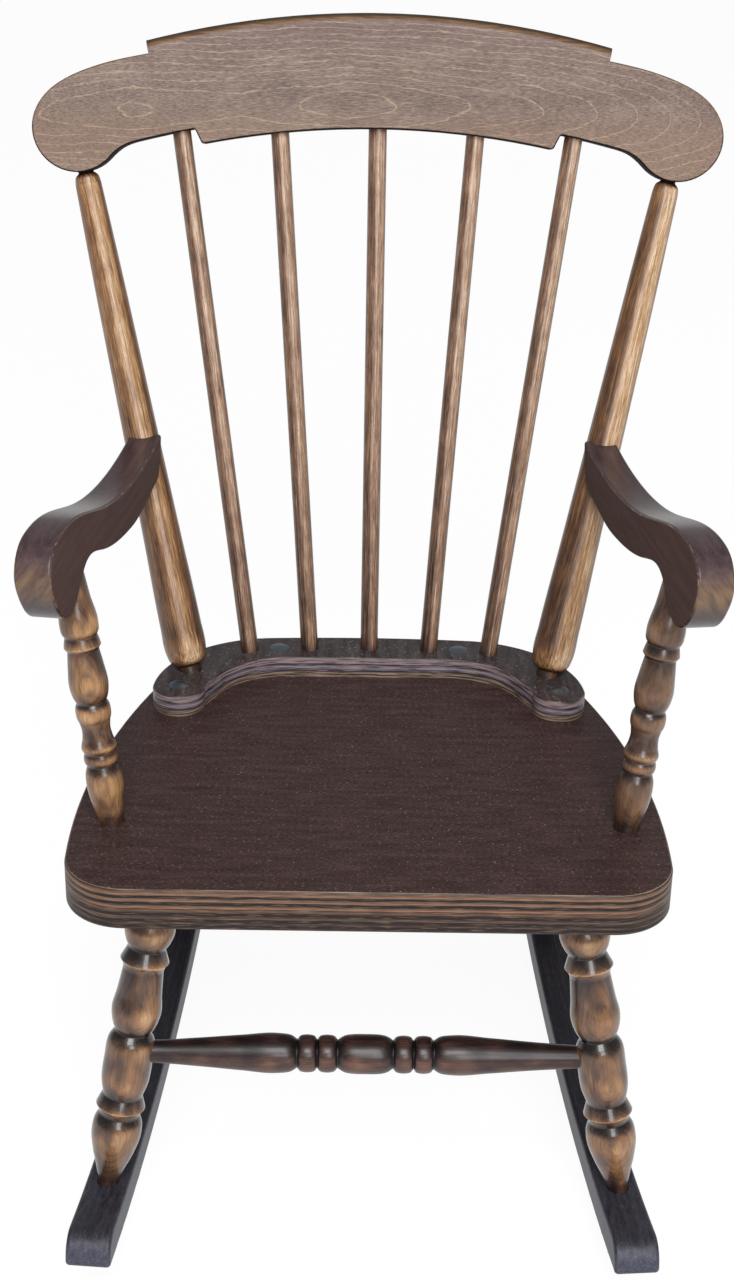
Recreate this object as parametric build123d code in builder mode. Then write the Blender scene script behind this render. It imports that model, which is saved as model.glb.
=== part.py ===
from build123d import *
import os
from math import cos, radians, sin, sqrt, tan

# A child's rocking chair with a spindle back. Millimetres, +Z up, the floor at z = 0.
# The sitter faces -Y. Y = 0 is halfway along the rockers and X = 0 is the plane of symmetry.
# What stands on the rockers is laid out in the seat's own frame, which leans back a little:
# there x is to the side, y runs back from the seat's front edge and z is up from its top.

os.makedirs("parts", exist_ok=True)

# ---- the seat above the floor
seat_front_height = 259.0      # top of the front edge
seat_front_y = -178.1
seat_lean = 5.0                # degrees, back edge down

# ---- rockers
rocker_length = 505.4
rocker_radius = 1000.0         # of the running edge
rocker_height = 20.0
rocker_width = 27.0
rocker_spread = 157.7          # middle of the chair to the centre line, under a front leg
rocker_toe_out = 4.17          # degrees, wider apart at the front
rocker_nose = 14.0             # rounding over the top of each tip
rocker_heel = 3.0              # rounding under each tip
rocker_edge = 2.5
balance_y = 14.8               # where they touch the floor at rest

# ---- plywood seat
seat_front_width = 349.6       # the sides carried on to the front line
seat_width = 357.0
seat_widest_at = 65.0
seat_rear_width = 268.4        # the sides carried on to the rear curve
seat_side_length = 290.0
seat_depth = 314.0
seat_thickness = 27.0
seat_front_corner = 37.0
seat_rear_corner = 60.0
seat_edge = 2.0

# ---- plywood collar that carries the back
collar_thickness = 15.0
collar_rear = 312.0            # its rear edge from the seat's front, in the middle
collar_rear_sag = 2.3          # how much less where the corner curves begin
collar_rear_half = 68.5
collar_lobe_x = 127.3
collar_lobe_reach = 80.0       # from the rear edge forward to the middle of a lobe's end
collar_lobe_radius = 17.4
collar_rail = 33.7             # width in the middle, behind the sitter
collar_inner_sag = 0.8
collar_inner_half = 86.5
collar_inner_corner = 50.0
collar_edge = 1.5

# ---- spindles and crest
recline = 12.0                 # degrees, of the back to the seat
back_height = 351.7            # along the recline, collar to the middle of the crest's lower edge
crest_ahead = 5.0              # where its slope meets the collar, ahead of the middle spindle
spindle_count = 5
spindle_diameter = 12.0
spindle_row_y = 295.3
spindle_row_radius = 610.0
spindle_step_low = 41.4
spindle_step_high = 64.3
spindle_in_crest = 15.0
dowel_in_seat = 22.0           # collar and seat together

# ---- crest rail, heights from the middle of its lower edge
crest_thickness = 20.0
crest_bow_radius = 1400.0      # in plan, hollow towards the sitter
crest_rise = 72.8              # lower edge to top in the middle
crest_shoulder_x = 150.2
crest_shoulder_high = 52.8
crest_shoulder_low = 44.5
crest_shoulder_lean = 1.8
crest_notch_x = 114.3
crest_notch_low = -11.5
crest_notch_high = -2.0
crest_notch_lean = 4.7
CREST_UNDER_WING = [(154.0, -10.0), (164.5, -13.6)]    # points from the notch to the lobe
CREST_OVER_WING = [(208.5, 23.2), (182.0, 36.2)]       # points from the lobe to the shoulder
crest_lobe_x = 194.8
crest_lobe_z = -2.8
crest_lobe_radius = 27.9
crest_lobe_start = -138.0      # degrees, where its arc meets the edge of the wing below
crest_lobe_end = 25.0          # and above
crest_roll = 7.0               # rounding of the middle's top front edge
crest_corner = 2.0
crest_edge = 1.2

# ---- back posts
post_x = 122.0
post_y = 257.5
post_top_inset = 4.6           # its top end inboard of the middle of the crest's lobe
post_foot = 16.0               # diameter
post_tenon = 10.0              # diameter in the crest
post_in_crest = 16.0

# ---- arms, boards on edge, heights above the seat
arm_thickness = 21.0
arm_front_x = 177.3            # middle of the arm over its support
arm_height = 157.4             # underside over the support
arm_end_high = 169.8           # of its rear end
arm_end_low = 143.6
ARM_TOP = [(128.0, 166.0), (50.0, 177.0)]    # points of (behind the support, height)
ARM_NOSE = [(-40.0, 196.2), (-58.0, 191.8), (-66.0, 180.5), (-59.5, 162.0), (-45.0, 146.8)]
ARM_UNDER = [(-27.5, 140.9), (-10.0, 148.8), (5.0, arm_height), (50.0, 149.4), (110.0, 137.8)]
arm_inset = 2.4                # middle of the arm inboard of the middle of the post
arm_end_gap = 5.0              # its rear end ahead of the middle of the post
arm_edge = 1.6

# ---- arm supports
support_x = 155.3
support_y = 78.5
support_top_x = 175.3
support_top_y = 94.0
support_foot = 16.0            # diameter
support_top = 15.0             # diameter
support_in_seat = 16.0
support_in_arm = 14.0

# ---- legs and stretchers
leg_top = 22.0                 # diameter
leg_foot = 13.5                # diameter
leg_in_seat = 18.0
leg_in_rocker = 12.0
front_leg_x = 125.5
front_leg_y = 40.0
front_foot_y = -186.1
rear_leg_x = 107.0
rear_leg_y = 252.0
rear_foot_y = 102.9
stretcher_drop = 105.5         # down the leg from the seat
stretcher_middle = 24.0        # diameter
stretcher_end = 13.8           # diameter
stretcher_in_leg = 4.0         # past the leg's axis

# ---- fixings
fit = 0.1                      # clearance round a tenon, dowel, screw or cap
screw_diameter = 4.5
screw_head = 8.0
screw_head_height = 2.6
collar_screw_x = 62.3          # the two between the spindles
collar_screw_y = 293.0
collar_screw_length = 26.0
collar_cap = 13.5
arm_screw_length = 45.0
arm_screw_height = 160.0
arm_cap = 10.0
arm_cap_back = 11.0            # rim of its cap behind the middle of the post
cap_depth = 3.0
cap_dome = 0.8
rocker_screw_length = 26.0
rocker_screw_recess = 3.0

UPRIGHT = (Align.CENTER, Align.CENTER, Align.MIN)
SIDES = {"left": -1, "right": 1}

SEAT = Plane(
    origin=(0, seat_front_y, seat_front_height),
    x_dir=(1, 0, 0),
    z_dir=(0, sin(radians(seat_lean)), cos(radians(seat_lean))),
)


# ---- where things are

def at_seat(x, y, z):
    """A point given in the seat's frame."""
    return SEAT.from_local_coords(Vector(x, y, z))


def at_crest(x, height):
    """A point on the crest rail's middle surface, height above its lower edge."""
    lean = radians(recline)
    up = back_height + height
    forward = crest_bow_radius - sqrt(crest_bow_radius**2 - x**2)
    return at_seat(
        x,
        spindle_row_y - crest_ahead + up * sin(lean) - forward * cos(lean),
        collar_thickness + up * cos(lean) + forward * sin(lean),
    )


CREST = Plane(
    origin=at_crest(0, 0),
    x_dir=(1, 0, 0),
    z_dir=at_seat(0, -cos(radians(recline)), sin(radians(recline))) - at_seat(0, 0, 0),
)


def rocker_x(y):
    """Distance of a rocker's centre line from the middle of the chair."""
    return rocker_spread - tan(radians(rocker_toe_out)) * (y - front_foot_y)


def on_rocker(side, y):
    """The middle of a rocker's top over a point of the floor."""
    along = (y - balance_y) / cos(radians(rocker_toe_out))
    return Vector(
        side * rocker_x(y),
        y,
        rocker_radius - sqrt((rocker_radius - rocker_height) ** 2 - along**2),
    )


def post_at(side, height):
    """The point of a back post's axis at a height above the seat, in the seat's frame."""
    foot = Vector(side * post_x, post_y, collar_thickness)
    head = SEAT.to_local_coords(post_head(side))
    return foot + (head - foot) * ((height - foot.Z) / (head.Z - foot.Z))


def post_head(side):
    """The point where a back post's axis meets the lobe of the crest rail."""
    drop = sqrt(crest_lobe_radius**2 - post_top_inset**2)
    return at_crest(side * (crest_lobe_x - post_top_inset), crest_lobe_z - drop)


# ---- turned pieces
# Each outline is a length, the diameter at the start and a list of strokes to the other end:
# a line, an arc or a curve through points of (distance from the start, diameter).

LEG = 196.0, leg_top, [
    ("line", (5.0, leg_top)),
    ("curve", (16.0, 27.4), (23.5, 30.4), (30.0, 27.4), (35.0, 22.4)),
    ("curve", (39.0, 25.6), (43.6, 29.4)),
    ("curve", (45.4, 26.8), (49.0, 24.4)),
    ("curve", (65.0, 27.2), (77.5, 30.0), (86.0, 26.4), (91.0, 21.6)),
    ("curve", (97.0, 28.2), (110.0, 29.4), (125.0, 28.6), (134.0, 24.2)),
    ("curve", (138.0, 27.2), (142.0, 30.0)),
    ("curve", (144.2, 27.2), (147.5, 24.6)),
    ("curve", (153.0, 29.4), (160.5, 30.4), (173.0, 25.6), (185.0, 18.0), (193.0, leg_foot)),
]
SUPPORT = 159.5, support_foot, [
    ("line", (2.5, support_foot)),
    ("curve", (14.0, 20.2), (26.0, 22.2), (32.0, 21.2), (37.0, 17.6)),
    ("arc", (41.0, 20.4), (45.0, 18.4)),
    ("curve", (48.0, 21.0), (54.0, 18.2), (59.5, 17.0), (65.0, 18.6)),
    ("arc", (70.5, 21.0), (77.0, 17.8)),
    ("curve", (81.0, 21.0), (87.5, 23.2), (99.0, 21.4), (109.8, 18.6)),
    ("curve", (110.8, 20.4), (112.0, 22.0)),
    ("curve", (115.0, 20.9), (118.4, 19.2)),
    ("curve", (121.0, 22.0), (125.5, 22.8), (142.0, 18.4), (159.5, support_top)),
]
POST = 334.0, post_foot, [
    ("line", (2.9, post_foot)),
    ("curve", (4.2, 20.6), (7.2, 24.8), (13.0, 27.6), (32.0, 27.8), (90.0, 25.5), (185.0, 22.3)),
    ("curve", (260.0, 20.0), (326.0, 17.0)),
    ("curve", (330.5, 15.4), (333.4, post_tenon)),
]
STRETCHER_HALF = 142.0, stretcher_middle, [
    ("curve", (13.0, 21.6), (16.7, 17.0)),
    ("arc", (23.0, 22.7), (29.0, 17.0)),
    ("arc", (35.0, 22.7), (41.0, 17.2)),
    ("curve", (45.0, 22.0), (53.0, 24.0), (75.0, 21.2), (100.0, 17.2), (128.0, stretcher_end)),
]


def turned(start, end, outline, past, grow=0.0):
    """A turned piece between two points, with its ends carried on past them as plain tenons.

    past gives the lengths of the two tenons. grow makes the same shape fatter and longer all
    round, for the socket that it sits in.
    """
    nominal, first, strokes = outline
    axis = (end - start).normalized()
    across = axis.cross(Vector(0, 1, 0)).normalized()
    stretch = (end - start).length / nominal
    low = -past[0] - grow
    high = (end - start).length + past[1] + grow
    with BuildPart() as piece:
        with BuildSketch(Plane(origin=start, x_dir=across, z_dir=across.cross(axis))):
            with BuildLine():
                here = (first / 2 + grow, low)
                for kind, *points in strokes:
                    path = [here] + [(d / 2 + grow, at * stretch) for at, d in points]
                    if kind == "line":
                        Line(*path)
                    elif kind == "arc":
                        ThreePointArc(*path)
                    else:
                        Spline(*path)
                    here = path[-1]
                Polyline(here, (here[0], high), (0, high), (0, low), (first / 2 + grow, low))
            make_face()
        revolve(axis=Axis(start, axis))
    return piece


def post(side, grow=0.0):
    """A back post."""
    foot = at_seat(side * post_x, post_y, collar_thickness)
    return turned(foot, post_head(side), POST, (dowel_in_seat, post_in_crest), grow)


def support(side, grow=0.0):
    """An arm support."""
    foot = at_seat(side * support_x, support_y, 0)
    head = at_seat(side * support_top_x, support_top_y, arm_height)
    return turned(foot, head, SUPPORT, (support_in_seat, support_in_arm), grow)


def leg_ends(side, rear):
    """Where a leg's axis meets the underside of the seat and the top of the rocker."""
    x, y, foot_y = (
        (rear_leg_x, rear_leg_y, rear_foot_y) if rear else (front_leg_x, front_leg_y, front_foot_y)
    )
    return at_seat(side * x, y, -seat_thickness), on_rocker(side, foot_y)


def leg(side, rear, grow=0.0):
    """A leg."""
    head, foot = leg_ends(side, rear)
    return turned(head, foot, LEG, (leg_in_seat, leg_in_rocker), grow)


def stretcher_side(side, rear, grow=0.0):
    """One half of a stretcher, from the middle of the chair into a leg."""
    head, foot = leg_ends(side, rear)
    joint = head + (foot - head).normalized() * stretcher_drop
    middle = Vector(0, joint.Y, joint.Z)
    return turned(middle, joint, STRETCHER_HALF, (0, stretcher_in_leg), grow)


def spindle(index, grow=0.0):
    """A straight back spindle, or the hole for one."""
    place = index - (spindle_count - 1) / 2
    x = place * spindle_step_low
    low = at_seat(x, spindle_row_y - x**2 / (2 * spindle_row_radius), collar_thickness)
    high = at_crest(place * spindle_step_high, 0)
    axis = (high - low).normalized()
    length = (high - low).length + dowel_in_seat + spindle_in_crest + 2 * grow
    with BuildPart() as dowel:
        with Locations(Plane(origin=low - axis * (dowel_in_seat + grow), z_dir=axis)):
            Cylinder(spindle_diameter / 2 + grow, length, align=UPRIGHT)
    return dowel


# ---- fixings

def screws(places, length, grow=0.0, recess=0.0):
    """Countersunk screws, one for each (head, direction), or the holes for them."""
    shank = screw_diameter / 2 + grow
    head = screw_head / 2 + grow
    with BuildPart() as group:
        for point, direction in places:
            with Locations(Plane(origin=point, z_dir=direction)):
                Cylinder(shank, length + grow, align=UPRIGHT)
                Cone(head, shank, screw_head_height, align=UPRIGHT)
            if recess:
                with Locations(Plane(origin=point, z_dir=-direction)):
                    Cylinder(head, recess, align=UPRIGHT)
    return group


def caps(places, diameter):
    """Domed cover caps, one for each (middle of the rim, direction outwards)."""
    with BuildPart() as group:
        for point, direction in places:
            across = direction.cross(Vector(1, 0, 0)).normalized()
            side = Plane(origin=point, x_dir=across, z_dir=across.cross(direction))
            with BuildSketch(side):
                with BuildLine():
                    TangentArc((0, cap_dome), (diameter / 2, 0), tangent=(1, 0))
                    Polyline(
                        (diameter / 2, 0), (diameter / 2, -cap_depth), (0, -cap_depth), (0, cap_dome)
                    )
                make_face()
            revolve(axis=Axis(point, direction))
    return group


def counterbores(places, diameter, reach):
    """The holes for cover caps, open outwards for the length of reach."""
    with BuildPart() as group:
        for point, direction in places:
            with Locations(Plane(origin=point - direction * (cap_depth + fit), z_dir=direction)):
                Cylinder(diameter / 2 + fit, cap_depth + fit + reach, align=UPRIGHT)
    return group


up = at_seat(0, 0, 1) - at_seat(0, 0, 0)
collar_places = [
    (at_seat(s * x, y, collar_thickness), up)
    for s in SIDES.values()
    for x, y in ((collar_lobe_x, collar_rear - collar_lobe_reach), (collar_screw_x, collar_screw_y))
]
collar_screw_places = [(point - up * (cap_depth + 2 * fit), -up) for point, _ in collar_places]


def arm_line(side):
    """The middle of an arm: a point over its support and the direction to the back post."""
    front = Vector(side * arm_front_x, support_top_y, 0)
    back = post_at(side, arm_screw_height) - Vector(side * arm_inset, 0, 0)
    way = Vector(back.X - front.X, back.Y - front.Y, 0).normalized()
    return front, way


def arm_cap_place(side):
    """The rim of the cap at the back of a post, and the direction outwards."""
    way = arm_line(side)[1]
    outwards = at_seat(*way) - at_seat(0, 0, 0)
    axis_point = at_seat(*post_at(side, arm_screw_height))
    return axis_point + outwards * arm_cap_back, outwards


arm_places = [arm_cap_place(s) for s in SIDES.values()]
arm_screw_places = [(point - out * (cap_depth + 2 * fit), -out) for point, out in arm_places]

rocker_screw_places = []
for s in SIDES.values():
    for rear in (False, True):
        leg_head, leg_foot_point = leg_ends(s, rear)
        leg_way = (leg_foot_point - leg_head).normalized()
        depth = rocker_height - rocker_screw_recess
        rocker_screw_places.append((leg_foot_point + leg_way * depth, -leg_way))

# ---- sockets: each piece a little fatter and longer than it is
post_sockets = {s: post(s, fit).part for s in SIDES.values()}
support_sockets = {s: support(s, fit).part for s in SIDES.values()}
leg_sockets = {(s, rear): leg(s, rear, fit).part for s in SIDES.values() for rear in (False, True)}
stretcher_sockets = {
    (s, rear): stretcher_side(s, rear, fit).part for s in SIDES.values() for rear in (False, True)
}
spindle_sockets = [spindle(index, fit).part for index in range(spindle_count)]
collar_screw_holes = screws(collar_screw_places, collar_screw_length, fit).part
collar_cap_holes = counterbores(collar_places, collar_cap, cap_dome).part
arm_screw_holes = screws(arm_screw_places, arm_screw_length, fit).part
arm_cap_holes = counterbores(arm_places, arm_cap, arm_cap_back).part
rocker_screw_holes = screws(
    rocker_screw_places, rocker_screw_length, fit, recess=rocker_height
).part


def finish(builder, name):
    """Label a finished piece and write it."""
    builder.part.label = name
    export_step(builder.part, f"parts/{name}.step")


# ---- seat
with BuildPart() as seat:
    with BuildSketch(SEAT.offset(-seat_thickness)) as seat_outline:
        with BuildLine():
            Line((0, 0), (seat_front_width / 2, 0))
            ThreePointArc(
                (seat_front_width / 2, 0),
                (seat_width / 2, seat_widest_at),
                (seat_rear_width / 2, seat_side_length),
            )
            TangentArc((0, seat_depth), (seat_rear_width / 2, seat_side_length), tangent=(1, 0))
            mirror(about=Plane.YZ)
        make_face()
        corners = seat_outline.vertices()
        fillet(corners.filter_by(lambda v: v.Y < 1 and abs(v.X) > 1), seat_front_corner)
        corners = seat_outline.vertices()
        fillet(
            corners.filter_by(lambda v: abs(abs(v.X) - seat_rear_width / 2) < 0.01),
            seat_rear_corner,
        )
    extrude(amount=seat_thickness)
    fillet(seat.faces().filter_by(lambda f: abs(f.normal_at().dot(up)) > 0.99).edges(), seat_edge)
    for socket in (*post_sockets.values(), *support_sockets.values(), *leg_sockets.values()):
        add(socket, mode=Mode.SUBTRACT)
    for socket in (*spindle_sockets, collar_screw_holes):
        add(socket, mode=Mode.SUBTRACT)
finish(seat, "seat")

# ---- collar
with BuildPart() as seat_collar:
    with BuildSketch(SEAT) as collar_outline:
        lobe_left = collar_lobe_x - collar_lobe_radius
        lobe_right = collar_lobe_x + collar_lobe_radius
        lobe_y = collar_rear - collar_lobe_reach
        collar_inner = collar_rear - collar_rail
        with BuildLine():
            rear_end = (collar_rear_half, collar_rear - collar_rear_sag)
            inner_end = (collar_inner_half, collar_inner - collar_inner_sag)
            rear_curve = TangentArc((0, collar_rear), rear_end, tangent=(1, 0))
            TangentArc(rear_end, (lobe_right, lobe_y), tangent=rear_curve % 1)
            ThreePointArc(
                (lobe_right, lobe_y),
                (collar_lobe_x, lobe_y - collar_lobe_radius),
                (lobe_left, lobe_y),
            )
            Line((lobe_left, lobe_y), inner_end)
            TangentArc((0, collar_inner), inner_end, tangent=(1, 0))
            mirror(about=Plane.YZ)
        make_face()
        corners = collar_outline.vertices()
        fillet(
            corners.filter_by(lambda v: (Vector(abs(v.X), v.Y) - Vector(*inner_end)).length < 0.01),
            collar_inner_corner,
        )
    extrude(amount=collar_thickness)
    top = seat_collar.faces().filter_by(lambda f: f.normal_at().dot(up) > 0.99)
    fillet(top.edges(), collar_edge)
    for socket in (*post_sockets.values(), *spindle_sockets):
        add(socket, mode=Mode.SUBTRACT)
    add(collar_screw_holes, mode=Mode.SUBTRACT)
    add(collar_cap_holes, mode=Mode.SUBTRACT)
finish(seat_collar, "seat_collar")

# ---- spindles and posts
for index in range(spindle_count):
    spindle_piece = spindle(index)
    finish(spindle_piece, f"spindle_{index + 1}")

for name, s in SIDES.items():
    turned_post = post(s).part
    with BuildPart() as back_post:
        add(turned_post)
        add(arm_screw_holes, mode=Mode.SUBTRACT)
        add(arm_cap_holes, mode=Mode.SUBTRACT)
    finish(back_post, f"back_post_{name}")

# ---- crest rail
wing_start = (crest_notch_x + crest_notch_lean, crest_notch_high)
lobe_centre = Vector(crest_lobe_x, crest_lobe_z)


def on_lobe(angle):
    """A point of the lobe's edge in the crest's plane."""
    return lobe_centre + Vector(crest_lobe_radius, 0).rotate(Axis.Z, angle)


def is_top_front(edge):
    """Whether an edge of the crest rail runs along the front half of the middle's top."""
    middle = CREST.to_local_coords(edge @ 0.5)
    return abs(middle.X) < 1 and middle.Y > crest_rise - crest_roll - 1 and middle.Z > 0


with BuildPart() as crest_rail:
    with BuildSketch(CREST.offset(-crest_lobe_x / 2)):
        with BuildLine():
            TangentArc((0, 0), (crest_notch_x, crest_notch_low), tangent=(1, 0))
            Line((crest_notch_x, crest_notch_low), wing_start)
            Spline(
                wing_start,
                *CREST_UNDER_WING,
                on_lobe(crest_lobe_start),
                tangents=[(1, -0.2), Vector(0, 1).rotate(Axis.Z, crest_lobe_start)],
            )
            lobe_middle = (crest_lobe_start + crest_lobe_end) / 2
            ThreePointArc(on_lobe(crest_lobe_start), on_lobe(lobe_middle), on_lobe(crest_lobe_end))
            Spline(
                on_lobe(crest_lobe_end),
                *CREST_OVER_WING,
                (crest_shoulder_x - crest_shoulder_lean, crest_shoulder_low),
                tangents=[Vector(0, 1).rotate(Axis.Z, crest_lobe_end), (-1, 0.2)],
            )
            Line(
                (crest_shoulder_x - crest_shoulder_lean, crest_shoulder_low),
                (crest_shoulder_x, crest_shoulder_high),
            )
            TangentArc((0, crest_rise), (crest_shoulder_x, crest_shoulder_high), tangent=(1, 0))
            mirror(about=Plane.YZ)
        make_face()
    extrude(amount=crest_lobe_x)
    with BuildSketch(Plane(origin=CREST.origin, x_dir=(1, 0, 0), z_dir=CREST.y_dir)):
        with Locations((0, -crest_bow_radius)):
            Circle(crest_bow_radius + crest_thickness / 2)
            Circle(crest_bow_radius - crest_thickness / 2, mode=Mode.SUBTRACT)
    extrude(amount=crest_lobe_x, both=True, mode=Mode.INTERSECT)
    notch = crest_notch_x + crest_notch_lean + 1
    through = crest_rail.edges().filter_by(Axis(CREST.origin, CREST.z_dir))
    fillet([edge for edge in through if abs(edge.center().X) < notch], crest_corner)
    fillet([edge for edge in crest_rail.edges() if is_top_front(edge)], crest_roll)
    long_edges = [edge for edge in crest_rail.edges() if edge.length > crest_thickness * 1.5]
    fillet([edge for edge in long_edges if not is_top_front(edge)], crest_edge)
    for socket in (*post_sockets.values(), *spindle_sockets):
        add(socket, mode=Mode.SUBTRACT)
finish(crest_rail, "crest_rail")

# ---- arms
for name, s in SIDES.items():
    front, way = arm_line(s)
    side_way = at_seat(*way.cross(Vector(0, 0, 1))) - at_seat(0, 0, 0)
    board = Plane(origin=at_seat(*front), x_dir=at_seat(*way) - at_seat(0, 0, 0), z_dir=side_way)
    end_high, end_low = (
        ((post_at(s, z) - front).dot(way) - arm_end_gap, z) for z in (arm_end_high, arm_end_low)
    )
    with BuildPart() as arm:
        with BuildSketch(board.offset(-arm_thickness / 2)):
            with BuildLine():
                outline = (end_high, *ARM_TOP, *ARM_NOSE, *ARM_UNDER, end_low)
                Spline(*outline, tangents=[(-1, -0.14), (1, 0.14)])
                Line(end_low, end_high)
            make_face()
        extrude(amount=arm_thickness)
        sides = arm.faces().filter_by(lambda f: abs(f.normal_at().dot(side_way)) > 0.99)
        fillet(sides.edges().filter_by(GeomType.BSPLINE), arm_edge)
        add(post_sockets[s], mode=Mode.SUBTRACT)
        add(support_sockets[s], mode=Mode.SUBTRACT)
        add(arm_screw_holes, mode=Mode.SUBTRACT)
    finish(arm, f"arm_{name}")
    finish(support(s), f"arm_support_{name}")

# ---- legs and stretchers
for where, rear in (("front", False), ("rear", True)):
    for name, s in SIDES.items():
        turned_leg = leg(s, rear).part
        with BuildPart() as leg_piece:
            add(turned_leg)
            add(stretcher_sockets[s, rear], mode=Mode.SUBTRACT)
            add(rocker_screw_holes, mode=Mode.SUBTRACT)
        finish(leg_piece, f"{where}_leg_{name}")
    right_half = stretcher_side(1, rear).part
    with BuildPart() as stretcher:
        add(right_half)
        mirror(about=Plane.YZ)
    finish(stretcher, f"{where}_stretcher")

# ---- rockers
for name, s in SIDES.items():
    toe = radians(rocker_toe_out)
    board = Plane(
        origin=(s * rocker_x(balance_y), balance_y, 0),
        x_dir=(-s * sin(toe), cos(toe), 0),
        z_dir=(cos(toe), s * sin(toe), 0),
    )
    tips = [(end * rocker_length / 2 - balance_y) / cos(toe) for end in (-1, 1)]

    def at_tip(along, height):
        """A point of the end cut of a rocker, square to its running edge."""
        centre = Vector(0, rocker_radius)
        rim = Vector(along, rocker_radius - sqrt(rocker_radius**2 - along**2))
        return rim + (centre - rim).normalized() * height

    with BuildPart() as rocker:
        with BuildSketch(board.offset(-rocker_width / 2)) as rocker_outline:
            with BuildLine():
                ThreePointArc(at_tip(tips[0], 0), (0, 0), at_tip(tips[1], 0))
                Line(at_tip(tips[1], 0), at_tip(tips[1], rocker_height))
                ThreePointArc(
                    at_tip(tips[0], rocker_height),
                    (0, rocker_height),
                    at_tip(tips[1], rocker_height),
                )
                Line(at_tip(tips[0], 0), at_tip(tips[0], rocker_height))
            make_face()
            middle = rocker_radius - rocker_height / 2
            centre = Vertex(0, rocker_radius)
            corners = rocker_outline.vertices()
            fillet([v for v in corners if v.distance_to(centre) > middle], rocker_heel)
            corners = rocker_outline.vertices()
            fillet([v for v in corners if v.distance_to(centre) < middle - rocker_heel], rocker_nose)
        extrude(amount=rocker_width)
        fillet(rocker.faces().filter_by(board, reverse=False).edges(), rocker_edge)
        for rear in (False, True):
            add(leg_sockets[s, rear], mode=Mode.SUBTRACT)
        add(rocker_screw_holes, mode=Mode.SUBTRACT)
    finish(rocker, f"rocker_{name}")

# ---- screws and caps
finish(screws(collar_screw_places, collar_screw_length), "collar_screws")
finish(caps(collar_places, collar_cap), "collar_screw_caps")
finish(screws(arm_screw_places, arm_screw_length), "arm_screws")
finish(caps(arm_places, arm_cap), "arm_screw_caps")
finish(screws(rocker_screw_places, rocker_screw_length), "rocker_screws")
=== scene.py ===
# %% [markdown]
# # A child's rocking chair with a spindle back
#
# The chair's parts come as solids from the drawing. Here they get the finish of the real chair:
# brown stain under varnish on beech, rubbed thin on the turnings, and dark stained plywood. The
# sawn boards keep their solids. The turned parts are made again as surfaces of revolution, because
# a lathe leaves crisp rings and hollows, and the stain is darkest in the hollows.

# %% Setup: the frame, and the sizes before any work
import math

import bpy
import numpy as np
from mathutils import Euler, Matrix


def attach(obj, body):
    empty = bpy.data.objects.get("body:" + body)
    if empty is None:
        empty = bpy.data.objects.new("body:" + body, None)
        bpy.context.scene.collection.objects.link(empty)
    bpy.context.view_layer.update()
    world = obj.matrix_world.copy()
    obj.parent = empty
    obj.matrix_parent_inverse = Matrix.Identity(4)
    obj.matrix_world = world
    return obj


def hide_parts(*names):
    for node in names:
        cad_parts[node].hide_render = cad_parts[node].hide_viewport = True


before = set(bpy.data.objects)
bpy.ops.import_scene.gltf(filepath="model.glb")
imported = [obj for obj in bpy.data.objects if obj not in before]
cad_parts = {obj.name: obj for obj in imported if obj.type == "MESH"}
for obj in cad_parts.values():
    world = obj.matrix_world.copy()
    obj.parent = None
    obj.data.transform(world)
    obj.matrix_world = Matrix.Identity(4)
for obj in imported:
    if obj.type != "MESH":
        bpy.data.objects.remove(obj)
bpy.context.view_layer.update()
MM = 0.001
print("solid nodes:", len(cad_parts))

# %% [markdown]
# ## Where the parts lie
#
# The chair is drawn in the frame of its seat, which leans back 5 degrees on the rockers: x to the
# side, y back from the front edge, z up from the seat's top. The back leans 12 degrees more, and
# the crest rail is bowed so that it is hollow towards the sitter. A few functions that turn such
# places into places in the room are enough, so each part below is told where it stands on the
# chair, as a maker would say it. All lengths are in millimetres.

# %% The seat's frame, the crest's and the rockers'
SEAT_FRONT = np.array([0.0, -178.1, 259.0])
SEAT_LEAN = math.radians(5.0)
SEAT_THICK = 27.0
COLLAR_THICK = 15.0
RECLINE = math.radians(12.0)
BACK_HEIGHT = 351.7
SPINDLE_ROW_Y = 295.3
CREST_AHEAD = 5.0
CREST_BOW = 1400.0
ROCKER_RADIUS = 1000.0
ROCKER_HEIGHT = 20.0
ROCKER_SPREAD = 157.7
TOE_OUT = math.radians(4.17)
BALANCE_Y = 14.8
FRONT_FOOT_Y = -186.1
REAR_FOOT_Y = 102.9
SIDES = {"left": -1, "right": 1}

X = np.array([1.0, 0.0, 0.0])
SEAT_BACK = np.array([0.0, math.cos(SEAT_LEAN), -math.sin(SEAT_LEAN)])
SEAT_UP = np.array([0.0, math.sin(SEAT_LEAN), math.cos(SEAT_LEAN)])


def at_seat(x, y, z):
    """Place of a point of the seat's frame: SEAT_FRONT + x X + y SEAT_BACK + z SEAT_UP."""
    return SEAT_FRONT + x * X + y * SEAT_BACK + z * SEAT_UP


def at_crest(x, height):
    """Place on the crest's middle surface, bowed forward by R - sqrt(R^2 - x^2)."""
    forward = CREST_BOW - math.sqrt(CREST_BOW**2 - x**2)
    up = BACK_HEIGHT + height
    y = SPINDLE_ROW_Y - CREST_AHEAD + up * math.sin(RECLINE) - forward * math.cos(RECLINE)
    z = COLLAR_THICK + up * math.cos(RECLINE) + forward * math.sin(RECLINE)
    return at_seat(x, y, z)


def on_rocker(side, y):
    """Place on the middle of a rocker's top over a point of the floor."""
    along = (y - BALANCE_Y) / math.cos(TOE_OUT)
    x = ROCKER_SPREAD - math.tan(TOE_OUT) * (y - FRONT_FOOT_Y)
    z = ROCKER_RADIUS - math.sqrt((ROCKER_RADIUS - ROCKER_HEIGHT) ** 2 - along**2)
    return np.array([side * x, y, z])


print("lower edge of the crest, above the floor:", round(at_crest(0.0, 0.0)[2], 1))

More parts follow.
